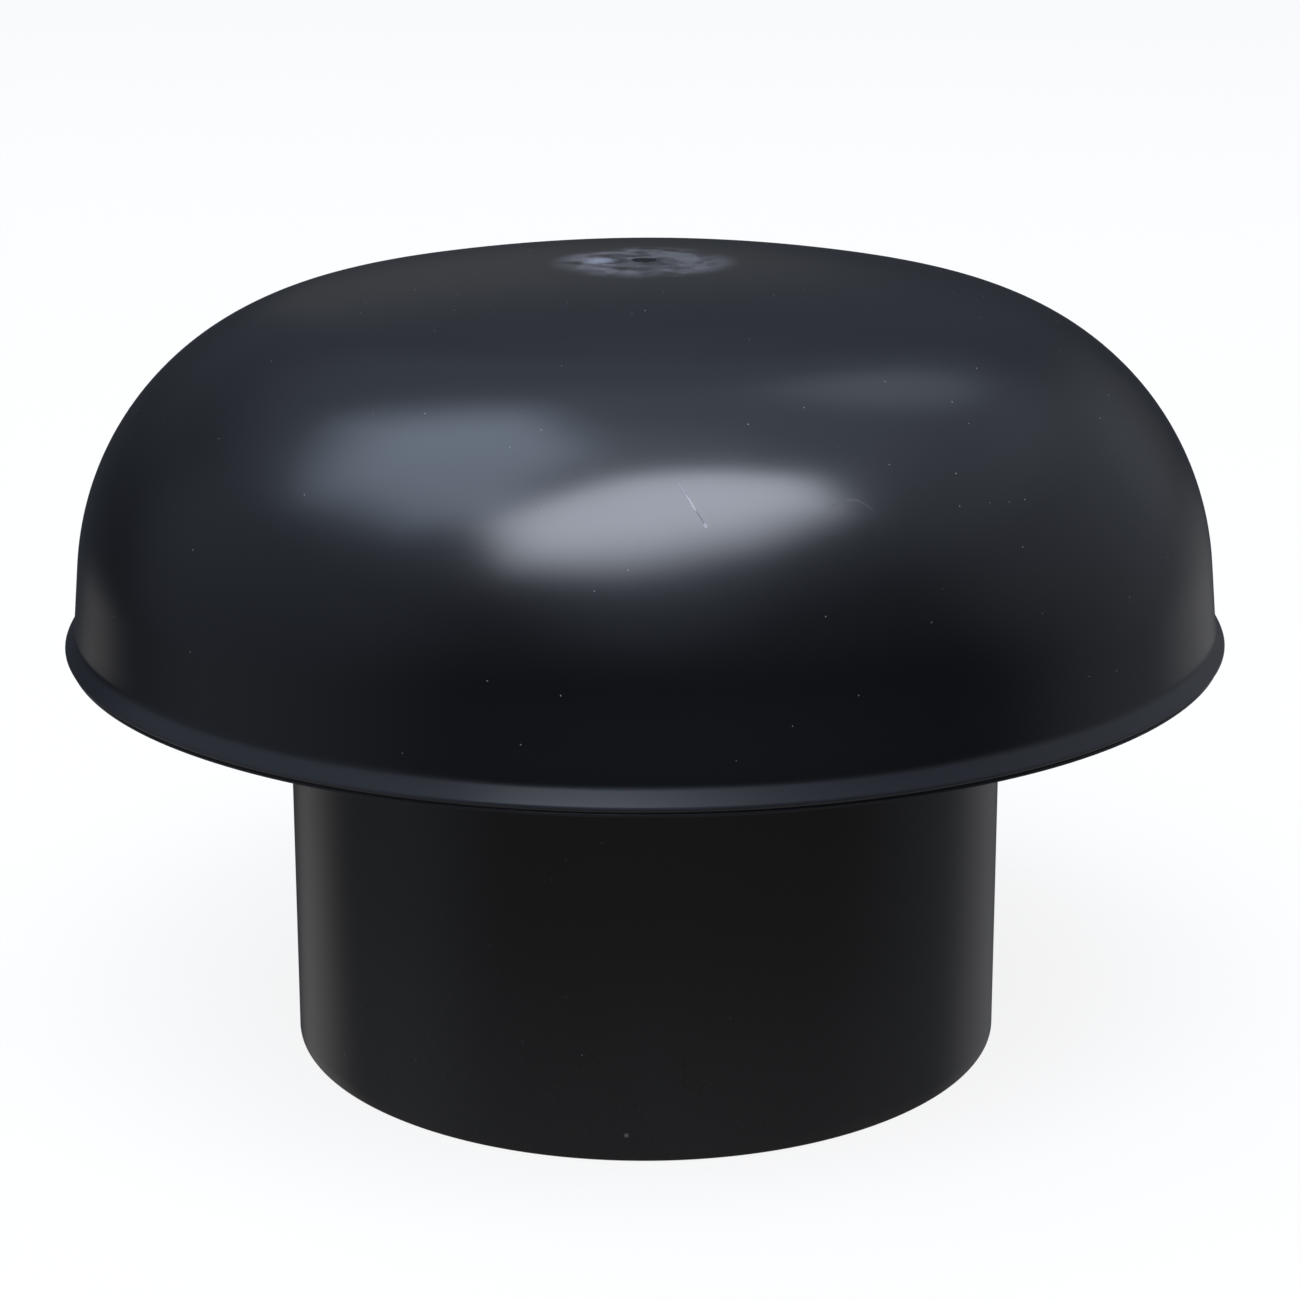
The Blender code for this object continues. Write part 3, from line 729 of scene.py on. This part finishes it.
def hood_plastic():
    """The hood's plastic: a duller bead with painted sheen, blotches round the moulding gate that are partly
    gate blush and partly painted highlight, a painted highlight and painted shade at the gate, and a scratch on
    the front with painted highlight and painted shade.
    """
    finish = moulded_plastic("satin_hood_plastic", (0.0032, 0.0034, 0.0040), 0.18)
    height = finish.vector("DOT_PRODUCT", finish.place, (0, 0, 1))
    # Painted sheen: the bead's paler, bluer colour paints the bright band of light on it, and its higher
    # roughness is its duller finish
    bead = finish.ramp(height, RIM_HEIGHT + BEAD_HEIGHT, RIM_HEIGHT + BEAD_HEIGHT - 0.8 * MM)
    finish.cover(bead, (0.0095, 0.0100, 0.0118), 0.24)
    from_gate = finish.vector("LENGTH", finish.vector("SUBTRACT", finish.place, (0, 0, CROWN_HEIGHT)))
    near_gate = finish.ramp(from_gate, GATE_RELIEF_RADIUS, 0.6 * GATE_RELIEF_RADIUS)
    # Pale blotches round the gate: partly gate blush, partly painted highlight on the crown
    blush_and_highlight_blotches = finish.ramp(finish.noise(6 * MM, 1.0, 0.5, distortion=0.6), 0.34, 0.68)
    finish.cover(finish.math("MULTIPLY", near_gate, blush_and_highlight_blotches), (0.085, 0.084, 0.090), 0.30)
    # Painted highlight: a pale bluish spot beside the gate
    from_painted_highlight = finish.vector("DISTANCE", finish.place, (-7.0 * MM, 0.0, CROWN_HEIGHT))
    finish.cover(finish.ramp(from_painted_highlight, 3.6 * MM, 0.4 * MM, 0.0, 0.9), (0.17, 0.18, 0.21), 0.34)
    # Painted shade: the gate's dimple is coloured near black
    level_from_gate = finish.vector("LENGTH", finish.vector("MULTIPLY", finish.place, (1, 1, 0)))
    dimple = finish.ramp(level_from_gate, 1.2 * GATE_RADIUS, 0.95 * GATE_RADIUS)
    finish.cover(dimple, (0.001, 0.0015, 0.0015), 0.8)
    high = Vector((4.2 * MM, -76.6 * MM, 110.9 * MM))
    low = Vector((8.3 * MM, -81.2 * MM, 105.5 * MM))
    # The scratch's pale dashes are partly scuffed plastic and partly painted highlight along its ridge, and the
    # shade colour is painted shade in its groove
    scuff_and_highlight = (0.10, 0.10, 0.11)
    scrape_and_highlight = (0.20, 0.20, 0.21)
    shade = (0.001, 0.001, 0.001)
    for start, end, width, colour in (
        (0.00, 0.46, 0.24 * MM, scuff_and_highlight),
        (0.36, 0.72, 0.22 * MM, scrape_and_highlight),
        (0.68, 0.95, 0.11 * MM, shade),
        (0.96, 1.04, 0.30 * MM, scrape_and_highlight),
    ):
        scratch = finish.segment(on_shoulder(high.lerp(low, start)), on_shoulder(high.lerp(low, end)), width)
        finish.cover(scratch, colour, 0.4, -0.006 * MM)
    return finish.done()


def collar_plastic():
    """The collar's plastic, with faint smears from handling and one pale fleck near its foot."""
    finish = moulded_plastic("satin_collar_plastic", (0.0118, 0.0113, 0.0110), 0.24)
    smears = finish.ramp(finish.noise(34 * MM, 2.0, 0.5, (1, 1, 0.6), distortion=0.8), 0.42, 0.68)
    finish.cover(smears, (0.0165, 0.0160, 0.0157), 0.31)
    from_fleck = finish.vector("DISTANCE", finish.place, (-2.9 * MM, -58.4 * MM, 4.3 * MM))
    finish.cover(finish.ramp(from_fleck, 0.45 * MM, 0.15 * MM), (0.16, 0.16, 0.16), 0.5)
    return finish.done()


def screen_plastic():
    return moulded_plastic("matt_screen_plastic", (0.008, 0.008, 0.008), 0.42).done()


def brushed_steel(name, colour, roughness, grain):
    """Steel with a fine grain and duller, darker patches of wear."""
    finish = Finish(name, colour, roughness, metallic=1.0)
    duller = [0.72 * part for part in colour]
    worn = [0.5 * part for part in colour]
    finish.cover(finish.noise(grain, 3.0, 0.6), duller, roughness + 0.12, 0.002 * MM)
    finish.cover(finish.ramp(finish.noise(4 * grain, 4.0, 0.65), 0.5, 0.7), worn, 0.5)
    return finish.done()


def foam_rubber():
    finish = Finish("foam_rubber_cells", (0.012, 0.012, 0.012), 0.85)
    # Painted shade: the pore hollows keep the darker colour, and the raised cell walls are paler
    pores = finish.add("ShaderNodeTexVoronoi", {"Vector": finish.place, "Scale": 1 / (0.5 * MM)})
    finish.cover(finish.ramp(pores.outputs["Distance"], 0.3, 0.7), (0.03, 0.03, 0.03), height=0.06 * MM)
    finish.cover(finish.noise(6 * MM, 3.0), (0.02, 0.019, 0.018), 0.95)
    return finish.done()


# ---------------------------------------------------------------- pieces


def add_piece(name, mesh, material, body, node, location=(0, 0, 0), azimuth=0.0):
    """Places a piece that moves with a body and stands in for one CAD node."""
    piece = bpy.data.objects.new(name, mesh)
    bpy.context.scene.collection.objects.link(piece)
    if not mesh.materials:
        mesh.materials.append(material)
    piece.location = location
    piece.rotation_euler.z = azimuth
    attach(piece, body)
    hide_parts(node)


def add_pieces():
    collar_finish = collar_plastic()
    screen_finish = screen_plastic()
    screw_finish = brushed_steel("worn_screw_steel", (0.56, 0.55, 0.53), 0.28, 0.6 * MM)
    wire_finish = brushed_steel("drawn_wire_steel", (0.5, 0.5, 0.5), 0.3, 0.8 * MM)

    add_piece("moulded_hood", hood_mesh(), hood_plastic(), "hood_body", "hood")
    add_piece("moulded_collar", collar_mesh(), collar_finish, "collar_body", "collar")
    add_piece("foam_gasket", gasket_mesh(), foam_rubber(), "collar_body", "stop_gasket")
    screen = "screen_body"
    add_piece("screen_ring", screen_frame_mesh(), screen_finish, screen, "screen_frame")
    add_piece("woven_wire_disc", woven_mesh(), wire_finish, screen, "screen_mesh")
    add_piece("snap_in_ring", retainer_mesh(), screen_finish, screen, "screen_retainer")
    screw = screw_mesh()
    washer = washer_mesh()
    body = "collar_body"
    for number, azimuth in enumerate(POST_AZIMUTHS, start=1):
        x = POST_CIRCLE_RADIUS * math.cos(azimuth)
        y = POST_CIRCLE_RADIUS * math.sin(azimuth)
        turn = azimuth + 0.7 * number  # each screw stops at its own angle
        seat = (x, y, SCREW_SEAT)
        node = f"hood_screw_{number}"
        add_piece(f"pan_head_screw_{number}", screw, screw_finish, body, node, seat, turn)
        rest = (x, y, washer_low.z)
        node = f"screw_washer_{number}"
        add_piece(f"flat_washer_{number}", washer, screw_finish, body, node, rest, turn)


# ---------------------------------------------------------------- studio

FLOOR_RADIUS = 12.0
FLOOR_GLOW = 0.87
BACKDROP_COLOUR = (0.98, 0.98, 0.98)
CAMERA_PLACE = (0.0008, -0.4786, 0.2080)
CAMERA_PITCH = math.radians(16.80)
CAMERA_ROLL = math.radians(0.1)
CAMERA_LENS = 84.27
PANEL_DISTANCE = 3.0

# Radiance of the room at each elevation in degrees, and soft brighter patches of it:
# (azimuth to the right of the camera's side, elevation, inner and outer reach, radiance, colour)
ROOM = ((-90, 0.06), (0, 0.045), (25, 0.12), (45, 0.34), (70, 0.75), (90, 1.15))
ROOM_COLOUR = (0.85, 0.98, 1.20)
PATCHES = (
    (-80, 15, 8, 50, 0.18, (0.88, 1.0, 1.22)),
    (105, 20, 8, 48, 0.24, (0.92, 1.0, 1.15)),
    (0, 38, 3, 28, 0.22, (0.86, 1.0, 1.25)),
    (150, 49, 2, 13, 0.55, (0.88, 1.0, 1.22)),
    (-176, 11, 3, 13, 0.05, (1.10, 1.0, 0.85)),
    (142, 8, 4, 20, 0.06, (1.0, 1.0, 1.05)),
    (0, -75, 50, 78, 0.15, (1.06, 1.0, 0.96)),
    (-85, -30, 6, 30, 0.04, (1.04, 1.0, 0.98)),
    (-135, -30, 4, 24, 0.32, (1.06, 1.0, 0.97)),
    (90, -30, 6, 30, 0.05, (1.02, 1.0, 1.0)),
    (140, -26, 4, 27, 0.25, (1.02, 1.0, 1.0)),
)

# Corners of the two softboxes, measured to the right and down from their aims, as parts of their distance
KEY_AIM = (0.03, -0.45, 0.89)
KEY_OUTLINE = (
    (-0.10, -0.31),
    (0.16, -0.37),
    (0.46, -0.37),
    (0.65, -0.07),
    (0.37, 0.27),
    (-0.02, 0.48),
    (-0.56, 0.44),
    (-0.58, 0.04),
)
KEY_CORE = (
    (-0.08, -0.225),
    (0.12, -0.30),
    (0.32, -0.29),
    (0.40, -0.19),
    (0.20, -0.05),
    (-0.02, 0.06),
    (-0.32, 0.12),
    (-0.34, 0.0),
)
KEY_RADIANCE = 8.6
KEY_COLOUR = (0.93, 0.99, 1.14)
LEFT_AIM = (-0.45, 0.02, 0.89)
LEFT_OUTLINE = ((-0.60, -0.04), (-0.18, -0.50), (0.34, -0.54), (0.44, 0.02), (0.10, 0.60), (-0.38, 0.50))
LEFT_CORE = ((-0.14, 0.0), (0.02, -0.17), (0.26, -0.16), (0.26, 0.06), (0.04, 0.34), (-0.12, 0.28))
LEFT_RADIANCE = 2.6
LEFT_COLOUR = (0.82, 0.98, 1.25)


def direction(azimuth, elevation):
    """Unit vector at an azimuth in degrees, from the camera's side round to the right, and an elevation."""
    turn = math.radians(azimuth)
    rise = math.radians(elevation)
    return Vector((math.sin(turn) * math.cos(rise), -math.cos(turn) * math.cos(rise), math.sin(rise)))


def add_panel(name, aim, outline, core, radiance, colour):
    """A clear, glowing panel that faces the cover and fades from its core out to its outline."""
    aim = Vector(aim).normalized()
    right = (Vector((1, 0, 0)) - aim * aim.x).normalized()
    down = right.cross(aim)
    mesh = bpy.data.meshes.new(name)
    count = len(outline)
    verts = [PANEL_DISTANCE * (aim + right * u + down * v) for u, v in [*outline, *core]]
    faces = [tuple(range(count, 2 * count))]
    faces += [(n, (n + 1) % count, count + (n + 1) % count, count + n) for n in range(count)]
    mesh.from_pydata(verts, [], faces)
    glow = mesh.attributes.new("glow", "FLOAT", "POINT")
    glow.data.foreach_set("value", [0.0] * count + [1.0] * count)
    panel = bpy.data.objects.new(name, mesh)
    bpy.context.scene.collection.objects.link(panel)
    panel.visible_camera = False

    material = bpy.data.materials.new(name)
    material.use_nodes = True
    tree = material.node_tree
    tree.nodes.clear()
    fade = tree.nodes.new("ShaderNodeAttribute")
    fade.attribute_name = "glow"
    strength = tree.nodes.new("ShaderNodeMapRange")
    strength.interpolation_type = "SMOOTHSTEP"
    strength.inputs["To Max"].default_value = radiance
    emission = tree.nodes.new("ShaderNodeEmission")
    emission.inputs["Color"].default_value = (*colour, 1.0)
    clear = tree.nodes.new("ShaderNodeBsdfTransparent")
    both = tree.nodes.new("ShaderNodeAddShader")
    output = tree.nodes.new("ShaderNodeOutputMaterial")
    tree.links.new(fade.outputs["Fac"], strength.inputs["Value"])
    tree.links.new(strength.outputs["Result"], emission.inputs["Strength"])
    tree.links.new(emission.outputs["Emission"], both.inputs[0])
    tree.links.new(clear.outputs["BSDF"], both.inputs[1])
    tree.links.new(both.outputs["Shader"], output.inputs["Surface"])
    mesh.materials.append(material)


def add_world():
    """A room that is dim at floor level and brightens towards the ceiling. The camera sees only pale grey."""
    world = bpy.data.worlds.new("studio")
    bpy.context.scene.world = world
    world.use_nodes = True
    tree = world.node_tree
    tree.nodes.clear()

    def calc(kind, operation, *values):
        made = tree.nodes.new(kind)
        made.operation = operation
        for number, value in enumerate(values):
            if isinstance(value, bpy.types.NodeSocket):
                tree.links.new(value, made.inputs[number])
            else:
                made.inputs[number].default_value = value
        return made.outputs[0]

    def fade(value, low, high, top):
        made = tree.nodes.new("ShaderNodeMapRange")
        made.interpolation_type = "SMOOTHSTEP"
        tree.links.new(value, made.inputs["Value"])
        made.inputs["From Min"].default_value = low
        made.inputs["From Max"].default_value = high
        made.inputs["To Max"].default_value = top
        return made.outputs["Result"]

    looking = tree.nodes.new("ShaderNodeTexCoord").outputs["Generated"]
    split = tree.nodes.new("ShaderNodeSeparateXYZ")
    tree.links.new(looking, split.inputs[0])
    level = ROOM[0][1]
    for (low, below), (high, above) in zip(ROOM, ROOM[1:]):
        low_height = math.sin(math.radians(low))
        high_height = math.sin(math.radians(high))
        rise = fade(split.outputs["Z"], low_height, high_height, above - below)
        level = calc("ShaderNodeMath", "ADD", level, rise)
    light = calc("ShaderNodeVectorMath", "MULTIPLY", ROOM_COLOUR, level)
    for azimuth, elevation, inner, outer, radiance, colour in PATCHES:
        facing = tree.nodes.new("ShaderNodeVectorMath")
        facing.operation = "DOT_PRODUCT"
        tree.links.new(looking, facing.inputs[0])
        facing.inputs[1].default_value = direction(azimuth, elevation)
        edge = math.cos(math.radians(outer))
        patch = fade(facing.outputs["Value"], edge, math.cos(math.radians(inner)), radiance)
        light = calc("ShaderNodeVectorMath", "MULTIPLY_ADD", colour, patch, light)

    lit = tree.nodes.new("ShaderNodeBackground")
    tree.links.new(light, lit.inputs["Color"])
    seen = tree.nodes.new("ShaderNodeBackground")
    seen.inputs["Color"].default_value = (*BACKDROP_COLOUR, 1.0)
    mix = tree.nodes.new("ShaderNodeMixShader")
    output = tree.nodes.new("ShaderNodeOutputWorld")
    tree.links.new(tree.nodes.new("ShaderNodeLightPath").outputs["Is Camera Ray"], mix.inputs["Fac"])
    tree.links.new(lit.outputs[0], mix.inputs[1])
    tree.links.new(seen.outputs[0], mix.inputs[2])
    tree.links.new(mix.outputs[0], output.inputs["Surface"])


def add_floor():
    """Pale floor that glows a little, so that it stays even, and still takes the cover's soft shadow."""
    bm = bmesh.new()
    bmesh.ops.create_circle(bm, cap_ends=True, segments=96, radius=FLOOR_RADIUS)
    bmesh.ops.translate(bm, verts=bm.verts, vec=(0, 0, -0.2 * MM))
    mesh = bpy.data.meshes.new("floor")
    bm.to_mesh(mesh)
    bm.free()
    floor = bpy.data.objects.new("floor", mesh)
    bpy.context.scene.collection.objects.link(floor)
    floor.visible_glossy = False
    floor.visible_diffuse = False
    material = bpy.data.materials.new("pale_floor")
    material.use_nodes = True
    shader = material.node_tree.nodes["Principled BSDF"]
    shader.inputs["Base Color"].default_value = (0.09, 0.09, 0.09, 1.0)
    shader.inputs["Roughness"].default_value = 0.9
    shader.inputs["Specular IOR Level"].default_value = 0.0
    shader.inputs["Emission Color"].default_value = (1.0, 1.0, 1.0, 1.0)
    shader.inputs["Emission Strength"].default_value = FLOOR_GLOW
    mesh.materials.append(material)


def add_camera():
    camera = bpy.data.objects.new("camera", bpy.data.cameras.new("camera"))
    bpy.context.scene.collection.objects.link(camera)
    upright = Matrix.Rotation(math.pi / 2 - CAMERA_PITCH, 4, "X")
    camera.matrix_world = Matrix.Translation(CAMERA_PLACE) @ upright @ Matrix.Rotation(-CAMERA_ROLL, 4, "Z")
    camera.data.lens = CAMERA_LENS
    camera.data.sensor_width = 36.0
    bpy.context.scene.camera = camera


def add_studio():
    add_panel("key_panel", KEY_AIM, KEY_OUTLINE, KEY_CORE, KEY_RADIANCE, KEY_COLOUR)
    add_panel("left_panel", LEFT_AIM, LEFT_OUTLINE, LEFT_CORE, LEFT_RADIANCE, LEFT_COLOUR)
    add_world()
    add_floor()
    add_camera()
    bpy.context.scene.view_settings.view_transform = "Standard"


add_pieces()
add_studio()
